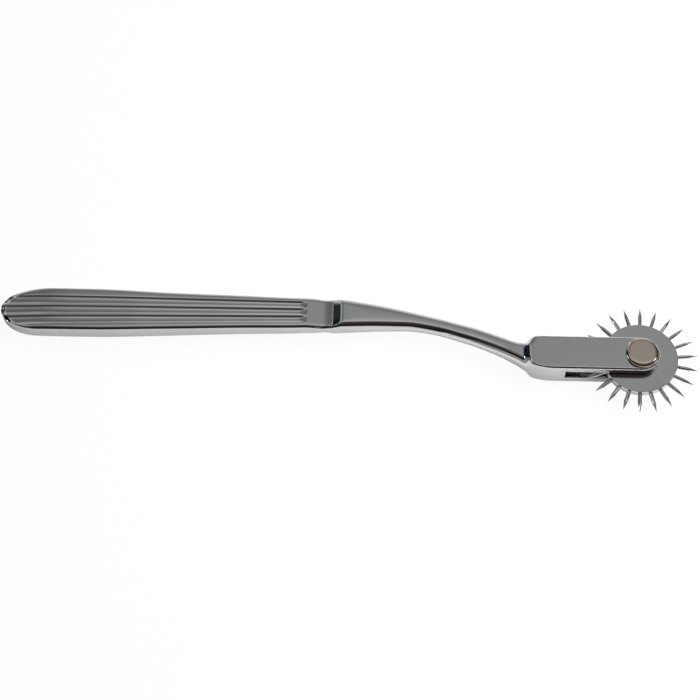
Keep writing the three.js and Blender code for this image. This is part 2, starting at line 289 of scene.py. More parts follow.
bar = Sizes(
    far=blurred(eased(bar_rows, "far", table), outline_spread),
    near=blurred(eased(bar_rows, "near", table), outline_spread),
    half=blurred_beside_neck(stepped_half()),
    corner=blurred(eased(bar_rows, "corner", table), outline_spread),
)


def along(values, s):
    return np.interp(s, table, values)


# The forging's plan, in the frame's X and Y


def butt_share(s, length):
    left = np.clip(1 - s / length, 0, 1)
    return np.sqrt(1 - left**2)


def bar_plan(s):
    """Far and near edges of the bar beside the handle's centre line."""
    far = along(bar.far, s) + handle.tip_offset
    near = along(bar.near, s) + handle.tip_offset
    far = far * butt_share(s, handle.far_butt_length)
    near = near * butt_share(s, handle.near_butt_length)
    return far - handle.tip_offset, near - handle.tip_offset


def corner_side(x, left, radius):
    """Half width of the fork's foot outline at x: an arc, then the straight side."""
    centre = left + radius
    beside = np.clip(centre - x, 0, radius)
    arc = fork.width / 2 - radius + np.sqrt(radius**2 - beside**2)
    before = np.clip(left - x, 0, None)
    return arc - before * fork.outline_fall


def forging_plan(s):
    """Far and near edges of the whole forging at one distance from the butt."""
    far, near = bar_plan(s)
    x = s - axle_reach
    foot = -fork.flat_length - fork.ramp_length
    fork_far = corner_side(x, foot, fork.far_corner_radius)
    fork_near = corner_side(x, foot, fork.near_blend_radius)
    far = soft_max(far + shank.drop, fork_far, fork.wall_softness)
    near = soft_min(near + shank.drop, -fork_near, fork.wall_softness)
    return far, near


# The forging's upper face. The lower face is its mirror image.


def step_turn(y, far, near):
    """How far the scoop's step is drawn towards the butt beside the edges."""
    near_in = np.clip(scoop.near_turn - (y - near), 0, scoop.near_turn)
    far_in = np.clip(scoop.far_turn - (far - y), 0, scoop.far_turn)
    near_draw = scoop.near_turn - np.sqrt(scoop.near_turn**2 - near_in**2)
    far_draw = scoop.far_turn - np.sqrt(scoop.far_turn**2 - far_in**2)
    return near_draw + far_draw


def outside_flat(x, y, far_radius, near_radius):
    """How far a place lies outside the fork's flat, round two corners of the flat."""
    distances = []
    for across, radius in ((y, far_radius), (-y, near_radius)):
        before = np.clip(radius - fork.flat_length - x, 0, None)
        beside = np.clip(across - fork.width / 2 + radius, 0, None)
        distances.append(np.hypot(before, beside) - radius)
    return np.maximum(*distances) - fork.face_setback


def face_height(x, y):
    """Height of the upper face over the middle plane, before its edges are rounded."""
    s = x + axle_reach
    far, near = forging_plan(np.clip(s, 0, axle_reach))
    at_step = smooth_step(s, scoop_end - scoop.near_turn, scoop_end - scoop.step_length / 2)
    at_step = at_step * (1 - smooth_step(s, step_top, step_top + scoop.near_turn))
    drawn = s + at_step * step_turn(y, far, near)
    bar_height = along(bar.half, drawn)
    past_lip = outside_flat(x, y, fork.face_far_radius, fork.lip_near_radius)
    past_ramp = outside_flat(x, y, fork.face_far_radius, fork.ramp_near_radius)
    lip = fork.lip_slope * soft_max(past_lip + fork.lip_width, 0, fork.lip_softness)
    ramp = (fork.ramp_slope - fork.lip_slope) * soft_max(past_ramp, 0, fork.ramp_softness)
    fork_height = fork.thickness / 2 - lip - ramp
    return soft_max(bar_height, fork_height, fork.foot_softness)


def flute_places(s):
    """Middles of the flutes at s, from far to near, and half the width of one."""
    taper = np.clip(s / handle.length, 0, 1)
    narrowing = flute.near_ridge_at_neck - flute.near_ridge_at_butt
    near_ridge = flute.near_ridge_at_butt + taper * narrowing
    pitch = (flute.far_ridge + near_ridge) / flute.count
    middles = [flute.far_ridge - (i + 0.5) * pitch for i in range(flute.count)]
    return middles, (pitch - flute.land) / 2


def butt_nearness(s, across):
    """From 0 to 1 as a place on the face comes close to the butt's round end."""
    far, near = along(bar.far, s), along(bar.near, s)
    aside = across + handle.tip_offset
    length = np.where(aside > 0, handle.far_butt_length, handle.near_butt_length)
    half = np.where(aside > 0, far + handle.tip_offset, -near - handle.tip_offset)
    out = np.hypot(np.clip(1 - s / length, 0, None), aside / half)
    close = np.clip((out - 1 + flute.butt_share) / flute.butt_share, 0, 1)
    return close**2 * (1 - smooth_step(s, 0, flute.butt_fade))


def rolled(s, inside):
    """How far the face has sunk at a distance inside the edge's own rounding."""
    to_shank = smooth_step(s, step_top, step_top + roll.grow)
    foot = fork_start - fork.ramp_length
    to_fork = smooth_step(s, foot - roll.grow, foot)
    reach = roll.handle + to_shank * (roll.shank - roll.handle)
    reach = reach + to_fork * (roll.fork - reach)
    share = np.clip(1 - inside / reach[:, None], 0, 1)
    return roll.slope * reach[:, None] / 3 * share**3


def fluted(z, x, y):
    """The face with its flutes sunk in: hollows that fade out at the neck."""
    s = x + axle_reach
    across = y - shank.drop
    end = handle.length + flute.end_reach
    share = np.clip((s - end + flute.run_out) / flute.run_out, 0, 1)
    fading = smooth_step(share, 0, 1)
    depth = flute.depth * (1 - fading) + flute.butt_sink * butt_nearness(s, across)
    middles, half = flute_places(s)
    face = along(bar.half, np.clip(s, 0, None))
    for middle in middles:
        aside = (across - middle) / half
        groove = face - depth * (1 - aside**2) + flute.end_lift * fading
        z = soft_min(z, np.where(s < end, groove, fork.thickness), flute.softness)
    return z


# The forging's mesh: rings across it, then the two ears of the fork


def ring_places():
    """Distances from the butt at which a ring of points lies."""
    turns = np.linspace(0, math.pi / 2, fine.butt_rings)
    places = list(handle.far_butt_length * (1 - np.cos(turns)))
    foot = axle_reach - fork.flat_length - fork.ramp_length
    stretches = [
        (handle.length - 2 * flute.run_out, fine.handle_step),
        (step_top + scoop.near_turn, fine.neck_step),
        (foot - fork.ramp_length, fine.shank_step),
        (foot + fork.near_blend_radius, fine.ramp_step),
        (axle_reach - fork.slot_length - fork.slot_chamfer, fine.fork_step),
    ]
    for end, step in stretches:
        count = math.ceil((end - places[-1]) / step)
        places += list(np.linspace(places[-1], end, count + 1)[1:])
    return np.array(places)


def inward(far_x, far_y):
    """Unit directions from an outline into the plan, with the outline on the left."""
    dx = np.gradient(far_x)
    dy = np.gradient(far_y)
    length = np.hypot(dx, dy)
    return dy / length, -dx / length


def top_lines(s, near_y, far_y):
    """Places of the lines along the face: on the flutes' edges, later spread evenly."""
    middles, half = flute_places(s)
    groove = np.linspace(-1, 1, fine.flute + 1)
    columns = []
    low = near_y
    for middle in reversed(middles):
        start = middle + shank.drop - half
        if not columns:
            for share in land_shares:
                columns.append(low + share * (start - low))
        columns += [middle + shank.drop + half * place for place in groove]
    start = columns[-1]
    for share in reversed(land_shares):
        columns.append(far_y + share * (start - far_y))
    fitted = np.clip(np.stack(columns, 1), near_y[:, None], far_y[:, None])
    neck = np.argmax(s >= handle.length)
    neck_shares = (fitted[neck] - near_y[neck]) / (far_y[neck] - near_y[neck])
    even = np.linspace(0, 1, fitted.shape[1] - 2)
    edge = fine.edge_support / fork.width
    even = np.concatenate([[0], edge + even * (1 - 2 * edge), [1]])
    blend = smooth_step(s, step_top, step_top + shank.length / 2)[:, None]
    shares = neck_shares * (1 - blend) + even * blend
    spread = near_y[:, None] + shares * (far_y - near_y)[:, None]
    morph = smooth_step(s, handle.length, handle.length + scoop.length / 2)[:, None]
    return fitted * (1 - morph) + spread * morph


def upper_rings(s):
    """Points of the upper half of each ring, from the near edge to the far edge."""
    far, near = forging_plan(s)
    x = s - axle_reach
    foot = -fork.flat_length - fork.ramp_length
    to_fork = smooth_step(x, foot + fork.edge_radius, fork.edge_radius - fork.flat_length)
    radius = along(bar.corner, s) * (1 - to_fork) + fork.edge_radius * to_fork
    at_butt = 1 - smooth_step(s, 0, handle.far_butt_length)
    radius = radius + at_butt * (handle.butt_edge_radius - handle.edge_radius)
    on_shank = smooth_step(s, step_top, step_top + roll.grow) * (1 - to_fork)
    rise = 1 + on_shank * (corner_rise - 1)
    depth = np.minimum(radius * rise, corner_depth_share * along(bar.half, s))
    far_dx, far_dy = inward(x, far)
    near_dx, near_dy = inward(x, near)
    near_dx, near_dy = -near_dx, -near_dy
    far_dx[0], far_dy[0], near_dx[0], near_dy[0] = 1, 0, 1, 0
    last_turn = math.pi / 2 - math.atan(roll.slope)
    turns = np.linspace(0, last_turn, fine.corner + 1)
    near_ring, far_ring, drops = [], [], []
    for turn in turns:
        inset = radius * (1 - math.cos(turn)) / (1 - math.cos(last_turn))
        near_ring.append(np.stack([x + inset * near_dx, near + inset * near_dy], 1))
        far_ring.append(np.stack([x + inset * far_dx, far + inset * far_dy], 1))
        drops.append(depth * (1 - math.sin(turn) / math.sin(last_turn)))
    near_in, far_in = near_ring[-1], far_ring[-1]
    lines = top_lines(s, near_in[:, 1], far_in[:, 1])
    width = np.maximum(far_in[:, 1] - near_in[:, 1], 1e-9)
    share = (lines - near_in[:, 1:2]) / width[:, None]
    line_x = near_in[:, 0:1] + share * (far_in[:, 0:1] - near_in[:, 0:1])
    inner = np.stack([line_x, lines], 2)[:, 1:-1]
    plan = np.concatenate([np.stack(near_ring, 1), inner, np.stack(far_ring[::-1], 1)], 1)
    drop = np.zeros(plan.shape[:2])
    drop[:, : len(turns)] = np.stack(drops, 1)
    drop[:, -len(turns):] = np.stack(drops[::-1], 1)
    z = face_height(plan[..., 0], plan[..., 1]) - drop
    z = fluted(z, plan[..., 0], plan[..., 1])
    z = z - rolled(s, plan[..., 1] - near_in[:, 1:2]) - rolled(s, far_in[:, 1:2] - plan[..., 1])
    return np.concatenate([plan, z[..., None]], 2)


def wall_shares():
    """Heights of the points on a side wall, as shares of its edge's height."""
    edge = fork.thickness / 2 - fork.edge_radius
    slot = fork.slot_height / 2 / edge
    chamfer = (fork.slot_height / 2 + fork.slot_chamfer) / edge
    upper = [slot, chamfer, (1 + chamfer) / 2]
    return [-share for share in reversed(upper)] + upper


class Skin:
    """Points and faces of one closed mesh, gathered as it is built."""

    def __init__(self):
        self.points = []
        self.faces = []

    def row(self, points):
        start = len(self.points)
        self.points += [tuple(point) for point in points]
        return list(range(start, len(self.points)))

    def strip(self, first, second, closed=False):
        count = len(first)
        for i in range(count if closed else count - 1):
            k = (i + 1) % count
            self.faces.append((first[i], first[k], second[k], second[i]))

    def fan(self, centre, ring):
        for i in range(len(ring) - 1):
            self.faces.append((centre, ring[i], ring[i + 1]))

    def piece(self, name, sharp_angle, place=Vector((0, 0, 0))):
        data = bpy.data.meshes.new(name)
        data.from_pydata([[c * MM for c in point] for point in self.points], [], self.faces)
        work = bmesh.new()
        work.from_mesh(data)
        bmesh.ops.remove_doubles(work, verts=work.verts, dist=join_distance)
        bmesh.ops.dissolve_degenerate(work, edges=work.edges, dist=join_distance)
        bmesh.ops.recalc_face_normals(work, faces=work.faces)
        work.to_mesh(data)
        work.free()
        data.shade_smooth()
        data.set_sharp_from_angle(angle=math.radians(sharp_angle))
        made = bpy.data.objects.new(name, data)
        made.location = place * MM
        bpy.context.scene.collection.objects.link(made)
        return made


def forging_skin():
    """The whole forging round its middle plane: bar, root of the fork and both ears."""
    skin = Skin()
    places = ring_places()
    upper = upper_rings(places)
    walls = wall_shares()
    rings = []
    for ring in upper:
        near_edge, far_edge = ring[0], ring[-1]
        near_wall = [(near_edge[0], near_edge[1], near_edge[2] * share) for share in walls]
        far_wall = [(far_edge[0], far_edge[1], far_edge[2] * share) for share in reversed(walls)]
        lower = [(x, y, -z) for x, y, z in ring[::-1]]
        rings.append(skin.row(near_wall + list(ring) + far_wall + lower))
    for before, after in zip(rings, rings[1:]):
        skin.strip(before, after, closed=True)
    ears(skin, rings[-1], upper[-1], len(walls))
    return skin


def ears(skin, last, upper, walls):
    """Both ears, from the last full ring to their round ends, and the slot's end."""
    half = fork.width / 2
    slot = fork.slot_height / 2
    chamfer = fork.slot_chamfer
    beside = walls // 2
    size = len(upper)
    near_top = last[beside + 1: walls]
    top = last[walls: walls + size]
    far_top = last[walls + size: walls + size + beside - 1]
    profile_y = [-half] * len(near_top) + list(upper[:, 1]) + [half] * len(far_top)
    wall_z = [skin.points[i][2] for i in near_top]
    profile_z = wall_z + list(upper[:, 2]) + wall_z[::-1]
    ceiling_y = list(np.linspace(half - chamfer, chamfer - half, 2 * fine.ceiling + 1))
    loop_y = profile_y + ceiling_y
    loop_z = profile_z + [slot] * len(ceiling_y)
    outer = near_top + top + far_top
    mirrored_outer = mirrored(skin, outer, last)
    stations = math.ceil(fork.slot_length / fine.fork_step) + 1
    slot_rows = {}
    for side, joined in ((1, outer), (-1, mirrored_outer)):
        loops = []
        for x in np.linspace(-fork.slot_length, 0, stations):
            loops.append(skin.row([(x, y, side * z) for y, z in zip(loop_y, loop_z)]))
        for before, after in zip(loops, loops[1:]):
            skin.strip(before, after, closed=True)
        skin.strip(joined, loops[0][: len(joined)])
        slot_rows[side] = loops[0][len(joined):]
        round_end(skin, loops[-1], len(profile_y), len(ceiling_y))
        near_low, far_low = last[beside], last[walls + size + beside - 1]
        if side < 0:
            near_low, far_low = last[beside - 1], last[walls + size + beside]
        skin.faces.append((near_low, joined[0], loops[0][0], slot_rows[side][-1]))
        skin.faces.append((far_low, joined[-1], loops[0][len(joined) - 1], slot_rows[side][0]))
    skin.strip(slot_rows[1], slot_rows[-1])
    near_pair = (last[beside], last[beside - 1])
    far_pair = (last[walls + size + beside - 1], last[walls + size + beside])
    skin.faces.append((*near_pair, slot_rows[-1][-1], slot_rows[1][-1]))
    skin.faces.append((*far_pair, slot_rows[-1][0], slot_rows[1][0]))


def place_key(*place):
    return tuple(round(float(value), fine.same_place_digits) for value in place)


def mirrored(skin, outer, last):
    """The points of a ring that lie below the given ones, in the same order."""
    found = {place_key(*skin.points[i]): i for i in last}
    below = []
    for i in outer:
        x, y, z = skin.points[i]
        below.append(found[place_key(x, y, -z)])
    return below


def round_end(skin, loop, outer_count, ceiling_count):
    """Half a turn of the ear's profile round the axle line closes the ear."""
    near_half = loop[: outer_count // 2 + 1]
    far_half = loop[outer_count // 2: outer_count][::-1]
    middle = outer_count + ceiling_count // 2
    near_floor = loop[middle:]
    far_floor = loop[outer_count: middle + 1][::-1]
    near_line = near_floor + near_half
    far_line = far_floor + far_half
    arcs = []
    for near_point, far_point in zip(near_line[1:-1], far_line[1:-1]):
        radius = abs(skin.points[near_point][1])
        z = skin.points[near_point][2]
        turns = np.linspace(-math.pi / 2, math.pi / 2, fine.ear_end + 1)[1:-1]
        between = skin.row([(radius * math.cos(t), radius * math.sin(t), z) for t in turns])
        arcs.append([near_point] + between + [far_point])
    for inner, outer in zip(arcs, arcs[1:]):
        skin.strip(inner, outer)
    skin.fan(near_line[0], arcs[0])
    skin.fan(near_line[-1], arcs[-1])


# Turned pieces


def turned(name, profile, sides, sharp_angle, height, closed=False):
    """A profile of radius and height turned round the Z axis."""
    skin = Skin()
    turns = np.linspace(0, 2 * math.pi, sides + 1)[:-1]
    rings = []
    for radius, level in profile:
        ring = [(radius * math.cos(t), radius * math.sin(t), level) for t in turns]
        rings.append(skin.row(ring))
    if closed:
        rings.append(rings[0])
    for before, after in zip(rings, rings[1:]):
        skin.strip(before, after, closed=True)
    return skin.piece(name, sharp_angle, Vector((0, 0, height)))


def quarter(centre_r, centre_z, radius, start, end, steps):
    """Points of an arc in a profile, its turn in degrees from the outward direction."""
    turns = np.radians(np.linspace(start, end, steps + 1))
    return [(centre_r + radius * math.cos(t), centre_z + radius * math.sin(t)) for t in turns]


def cut_from(piece, cutter, sharp_angle):
    """Takes the cutter out of the piece and throws the cutter away."""
    change = piece.modifiers.new("cut", "BOOLEAN")
    change.operation = "DIFFERENCE"
    change.solver = "EXACT"
    change.object = cutter
    seen = piece.evaluated_get(bpy.context.evaluated_depsgraph_get())
    data = bpy.data.meshes.new_from_object(seen)
    piece.modifiers.clear()
    old = piece.data
    piece.data = data
    bpy.data.meshes.remove(old)
    bpy.data.objects.remove(cutter)
    data.shade_smooth()
    data.set_sharp_from_angle(angle=math.radians(sharp_angle))


def make_forging():
    piece = forging_skin().piece("fine_forging", sharp.metal, Vector((0, 0, middle_height)))
    bore = rivet.shank_radius + rivet.running_gap
    reach = fork.thickness
    profile = [(0, -reach), (bore, -reach), (bore, reach), (0, reach)]
    drill = turned("drill", profile, fine.bore_sides, sharp.metal, middle_height)
    cut_from(piece, drill, sharp.metal)
    return piece


def make_disc():
    half = wheel.thickness / 2
    bore = rivet.shank_radius + rivet.running_gap
    rim = wheel.radius - wheel.rim_radius
    support = rim - fine.edge_support
    low = quarter(rim, wheel.rim_radius - half, wheel.rim_radius, -90, 0, fine.disc_rim)
    high = quarter(rim, half - wheel.rim_radius, wheel.rim_radius, 0, 90, fine.disc_rim)
    profile = [(bore, -half), (support, -half), *low, *high, (support, half), (bore, half)]
    piece = turned("fine_disc", profile, 2 * fine.turned, sharp.metal, disc_middle, closed=True)
    depth = pin.seat_depth + pin.root_gap
    radius = pin.radius + pin.hole_gap
    inner = wheel.radius - depth
    outer = rim + depth
    hole = [(0, inner), (radius, inner), (radius, outer), (0, outer)]
    for i in range(wheel.pins):
        drill = turned(f"drill_{i}", hole, fine.pin_sides, sharp.metal, 0)
        point_outwards(drill, i)
        cut_from(piece, drill, sharp.metal)
    return piece


def pin_turn(i):
    return math.radians(wheel.first_pin_angle - i * 360 / wheel.pins)


def point_outwards(piece, i):
    """Lays a piece that stands on Z down along the i-th pin's direction."""
    turn = pin_turn(i)
    along_x = Vector((math.cos(turn), math.sin(turn), 0))
    side = Vector((-math.sin(turn), math.cos(turn), 0))
    for point in piece.data.vertices:
        x, y, z = point.co
        point.co = along_x * z + side * x + Vector((0, 0, y))
    piece.location = (0, 0, disc_middle * MM)
    bpy.context.view_layer.update()


def make_pin(i):
    root = wheel.radius - pin.seat_depth
    shoulder = wheel.tip_radius - pin.point_length
    slope = math.degrees(math.atan2(pin.radius, pin.point_length))
    tip_centre = wheel.tip_radius - pin.tip_round
    tip = quarter(0, tip_centre, pin.tip_round, slope, 90, fine.pin_tip)
    blend = [
        (pin.radius, shoulder - pin.radius),
        (pin.radius * pin.shoulder_share, shoulder + pin.radius * pin.shoulder_rise),
    ]
    profile = [(0, root), (pin.radius, root), *blend, *tip]
    piece = turned(f"fine_pin_{i + 1:02d}", profile, fine.pin_sides, sharp.point, 0)
    point_outwards(piece, i)
    return piece


def make_rivet():
    seat = fork.thickness / 2
    face = seat + rivet.head_height
    crown = [
        (rivet.flat_radius * share, face - rivet.crown * share**2) for share in crown_shares
    ]
    lean = math.radians(rivet.dome_angle)
    upright = 90 - rivet.dome_angle
    edge_centre = rivet.head_radius - rivet.edge_radius
    bend = (edge_centre + rivet.edge_radius * math.sin(lean) - rivet.flat_radius) / math.sin(lean)
    dome_centre = face - rivet.crown - bend
    dome = quarter(rivet.flat_radius, dome_centre, bend, upright, 90, fine.head_dome)
    edge_level = dome[0][1] - rivet.edge_radius * math.cos(lean)
    edge = quarter(edge_centre, edge_level, rivet.edge_radius, 0, upright, fine.head_edge)[:-1]
    upper = [(rivet.shank_radius, seat), (rivet.head_radius, seat), *edge, *dome, *crown]
    lower = [(r, -z) for r, z in reversed(upper)]
    return turned("fine_rivet", lower + upper, fine.turned, sharp.metal, middle_height)


# Finishes, with painted shade in hollows and painted highlights on edges. Groups hold the
# marks that several metals share, and each metal's own material holds its shader.

grain = Sizes(
    line_detail=5.0, line_roughness=0.62, mark_detail=4.0, mark_roughness=0.55,
    mark_distortion=0.6, mark_edge=0.3, flat_pointiness=0.5,
)


def place_node(tree, kind, settings=None, **inputs):
    """A node with its settings, its input values and the links that come into it."""
    made = tree.nodes.new(kind)
    for key, value in (settings or {}).items():
        setattr(made, key, value)
    for key, value in inputs.items():
        numbered = key[0] == "i" and key[1:].isdigit()
        entry = made.inputs[int(key[1:]) if numbered else key]
        if isinstance(value, bpy.types.NodeSocket):
            tree.links.new(value, entry)
        else:
            entry.default_value = value
    return made


def make_group(name, inputs, outputs):
    tree = bpy.data.node_groups.new(name, "ShaderNodeTree")
    for label, kind, default in inputs:
        entry = tree.interface.new_socket(label, in_out="INPUT", socket_type=kind)
        entry.default_value = default
    for label in outputs:
        tree.interface.new_socket(label, in_out="OUTPUT", socket_type="NodeSocketFloat")
    return tree, tree.nodes.new("NodeGroupInput"), tree.nodes.new("NodeGroupOutput")


def polish_lines_group():
    """Hair-fine lines that the polishing wheel leaves, long in one direction."""
    inputs = [
        ("Stretch", "NodeSocketVector", (1, 1, 1)),
        ("Fineness", "NodeSocketFloat", 1000.0),
    ]
    tree, entry, leave = make_group("polish_lines", inputs, ["Lines"])
    place = place_node(tree, "ShaderNodeTexCoord").outputs["Object"]
    drawn = place_node(tree, "ShaderNodeVectorMath", {"operation": "MULTIPLY"},
                       i0=place, i1=entry.outputs["Stretch"]).outputs[0]
    lines = place_node(tree, "ShaderNodeTexNoise", None, Vector=drawn,
                       Scale=entry.outputs["Fineness"], Detail=grain.line_detail,
                       Roughness=grain.line_roughness).outputs["Fac"]
    tree.links.new(lines, leave.inputs["Lines"])
    return tree


def handling_marks_group():
    """Soft patches where fingers and cloths have dulled the polish."""
    inputs = [
        ("Scale", "NodeSocketFloat", 60.0),
        ("Cover", "NodeSocketFloat", 0.5),
    ]
    tree, entry, leave = make_group("handling_marks", inputs, ["Marks"])
    place = place_node(tree, "ShaderNodeTexCoord").outputs["Object"]
    broad = place_node(tree, "ShaderNodeTexNoise", None, Vector=place,
                       Scale=entry.outputs["Scale"], Detail=grain.mark_detail,
                       Roughness=grain.mark_roughness,
                       Distortion=grain.mark_distortion).outputs["Fac"]
    bare = place_node(tree, "ShaderNodeMath", {"operation": "SUBTRACT"}, i0=1.0,
                      i1=entry.outputs["Cover"]).outputs[0]
    full = place_node(tree, "ShaderNodeMath", {"operation": "ADD"}, i0=bare,
                      i1=grain.mark_edge).outputs[0]
    patch = place_node(tree, "ShaderNodeMapRange", {"interpolation_type": "SMOOTHSTEP"},
                       Value=broad)
    tree.links.new(bare, patch.inputs["From Min"])
    tree.links.new(full, patch.inputs["From Max"])
    tree.links.new(patch.outputs[0], leave.inputs["Marks"])
    return tree


def edge_wear_and_hollow_shade_group():
    """Where the surface stands out, which the metals lighten as wear and a painted highlight, and
    where it sinks in, which they darken as painted shade.
    """
    inputs = [("Sharpness", "NodeSocketFloat", 12.0)]
    tree, entry, leave = make_group("worn_shape", inputs, ["Edge", "Hollow"])
    shape = place_node(tree, "ShaderNodeNewGeometry").outputs["Pointiness"]
    away = place_node(tree, "ShaderNodeMath", {"operation": "SUBTRACT"}, i0=shape,
                      i1=grain.flat_pointiness).outputs[0]
    strong = place_node(tree, "ShaderNodeMath", {"operation": "MULTIPLY"}, i0=away,
                        i1=entry.outputs["Sharpness"]).outputs[0]
    out = place_node(tree, "ShaderNodeClamp", None, Value=strong).outputs[0]
    back = scaled(tree, strong, -1.0)
    sunk = place_node(tree, "ShaderNodeClamp", None, Value=back).outputs[0]
    tree.links.new(out, leave.inputs["Edge"])
    tree.links.new(sunk, leave.inputs["Hollow"])
    return tree


def use_group(tree, group, **inputs):
    made = tree.nodes.new("ShaderNodeGroup")
    made.node_tree = group
    for key, value in inputs.items():
        made.inputs[key].default_value = value
    return made.outputs


def mixed(tree, first, second, share):
    """Colour between two, by a share that varies over the surface."""
    made = place_node(tree, "ShaderNodeMix", {"data_type": "RGBA"})
    tree.links.new(share, made.inputs[0])
    for entry, value in ((made.inputs[6], first), (made.inputs[7], second)):
        if isinstance(value, bpy.types.NodeSocket):
            tree.links.new(value, entry)
        else:
            entry.default_value = (*value, 1)
    return made.outputs[2]


def scaled(tree, value, factor):
    made = place_node(tree, "ShaderNodeMath", {"operation": "MULTIPLY"}, i0=value, i1=factor)
    return made.outputs[0]


def metal(name, finish):
    """A polished metal: its colour and gloss follow the polish, handling and wear, with a painted
    highlight on its edges and painted shade in its hollows.
    """
    made = bpy.data.materials.new(name)
    made.use_nodes = True
    tree = made.node_tree
    shader = tree.nodes["Principled BSDF"]
    shader.inputs["Metallic"].default_value = 1.0
    lines = use_group(tree, groups.polish_lines, Stretch=finish.stretch,
                      Fineness=finish.fineness)["Lines"]
    marks = use_group(tree, groups.handling_marks, Scale=finish.mark_scale,
                      Cover=finish.mark_cover)["Marks"]
    shape = use_group(tree, groups.worn_shape, Sharpness=finish.wear_sharpness)
    handled = scaled(tree, marks, finish.mark_strength)
    # Painted shade: the colour darkens in the hollows, where the surface sinks in.
    hollow_shade = scaled(tree, shape["Hollow"], finish.hollow_strength)
    # Edges: the colour lightens on convex edges, partly as wear and partly as a painted highlight.
    edge = scaled(tree, shape["Edge"], finish.edge_strength)
    dulled = mixed(tree, finish.colour, finish.dull_colour, handled)
    # The hollows get their painted shade, then the edges their wear and painted highlight.
    hollow_shaded = mixed(tree, dulled, finish.hollow_colour, hollow_shade)
    edge_lit_and_worn = mixed(tree, hollow_shaded, finish.edge_colour, edge)
    tree.links.new(edge_lit_and_worn, shader.inputs["Base Color"])
    clear = place_node(tree, "ShaderNodeMapRange", None, Value=lines)
    clear.inputs["To Min"].default_value = finish.roughness - finish.line_roughness
    clear.inputs["To Max"].default_value = finish.roughness + finish.line_roughness
    hazy = scaled(tree, marks, finish.mark_roughness)
    gloss = place_node(tree, "ShaderNodeMath", {"operation": "ADD"}, i0=clear.outputs[0],
                       i1=hazy)
    tree.links.new(gloss.outputs[0], shader.inputs["Roughness"])
    bump = place_node(tree, "ShaderNodeBump", None, Strength=finish.bump,
                      Distance=finish.bump_height * MM, Height=lines)
    tree.links.new(bump.outputs[0], shader.inputs["Normal"])
    return made


groups = Sizes(
    polish_lines=polish_lines_group(),
    handling_marks=handling_marks_group(),
    worn_shape=edge_wear_and_hollow_shade_group(),
)

# The colour for hollows is painted shade, and the colour for edges is wear with a painted
# highlight.
chrome = dict(
    colour=(0.56, 0.565, 0.565), dull_colour=(0.47, 0.475, 0.48), hollow_colour=(0.3, 0.3, 0.305),
    edge_colour=(0.68, 0.685, 0.69), mark_strength=0.35, hollow_strength=0.6, edge_strength=0.5,
    wear_sharpness=10.0, mark_scale=90.0, mark_cover=0.55, mark_roughness=0.05,
    roughness=0.1, line_roughness=0.05, bump=0.12, bump_height=0.01, fineness=900.0,
    stretch=(0.04, 1, 1),
)
finishes = Sizes(
    forging=Sizes(**chrome),
    disc=Sizes(**{**chrome, "colour": (0.545, 0.55, 0.55), "roughness": 0.15,
                  "stretch": (0.5, 0.5, 1), "bump": 0.06}),
    pins=Sizes(**{**chrome, "colour": (0.63, 0.64, 0.64), "roughness": 0.09,
                  "stretch": (1, 1, 0.2)}),
    # The rivet's colours for hollows and edges are painted shade, and wear with a painted
    # highlight.
    rivet=Sizes(**{**chrome, "colour": (0.62, 0.545, 0.46), "dull_colour": (0.5, 0.43, 0.36),
                   "hollow_colour": (0.3, 0.25, 0.2), "edge_colour": (0.74, 0.68, 0.6),
                   "roughness": 0.12, "stretch": (1, 1, 1)}),
)

forging_steel = metal("forging_steel", finishes.forging)
disc_steel = metal("disc_steel", finishes.disc)
pin_steel = metal("pin_steel", finishes.pins)
rivet_nickel = metal("rivet_nickel", finishes.rivet)


# The studio: camera, pale floor, sky and soft panel


def make_camera():
    view = Sizes(
        target=Vector((-78.66, 1.18, 5.25)) * MM, distance=457.2 * MM,
        elevation=math.radians(63.0), azimuth=math.radians(1.39),
        focal_pixels=1680, picture=700, film=36.0, nearest=0.01,
    )
    data = bpy.data.cameras.new("view_camera")
    data.sensor_width = view.film
    data.lens = view.focal_pixels * view.film / view.picture
    data.clip_start = view.nearest
    made = bpy.data.objects.new("view_camera", data)
    level = math.cos(view.elevation)
    towards = Vector((
        math.sin(view.azimuth) * level, -math.cos(view.azimuth) * level, math.sin(view.elevation),
    ))
    made.location = view.target + towards * view.distance
    made.rotation_euler = (-towards).to_track_quat("-Z", "Y").to_euler()
    bpy.context.scene.collection.objects.link(made)
    bpy.context.scene.camera = made


def larger(tree, first, second):
    made = place_node(tree, "ShaderNodeMath", {"operation": "MAXIMUM"}, i0=first, i1=second)
    return made.outputs[0]


def glow_share(tree):
    """How much of the floor is plain white: most of it to the camera, less to mirrors."""
    shares = Sizes(camera=0.94, mirror=0.2)
    path = place_node(tree, "ShaderNodeLightPath").outputs
    seen = scaled(tree, path["Is Camera Ray"], shares.camera)
    mirrored_ray = larger(tree, path["Is Glossy Ray"], path["Is Transmission Ray"])
    return larger(tree, seen, scaled(tree, mirrored_ray, shares.mirror))


def make_floor():
    half = 2.0
    pale = Sizes(colour=(0.9, 0.9, 0.9, 1), roughness=0.9)
    data = bpy.data.meshes.new("pale_floor")
    corners = [(-half, -half, 0), (half, -half, 0), (half, half, 0), (-half, half, 0)]
    data.from_pydata(corners, [], [(0, 1, 2, 3)])
    made = bpy.data.objects.new("pale_floor", data)
    bpy.context.scene.collection.objects.link(made)
    paint = bpy.data.materials.new("floor_paint")
    paint.use_nodes = True
    tree = paint.node_tree
    shade = tree.nodes["Principled BSDF"]
    shade.inputs["Base Color"].default_value = pale.colour
    shade.inputs["Roughness"].default_value = pale.roughness
    shade.inputs["Specular IOR Level"].default_value = 0.0
    glow = place_node(tree, "ShaderNodeEmission", None, Color=(1, 1, 1, 1), Strength=1.0)
    mix = place_node(tree, "ShaderNodeMixShader", None, i0=glow_share(tree),
                     i1=shade.outputs[0], i2=glow.outputs[0])
    tree.links.new(mix.outputs[0], tree.nodes["Material Output"].inputs["Surface"])
    data.materials.append(paint)


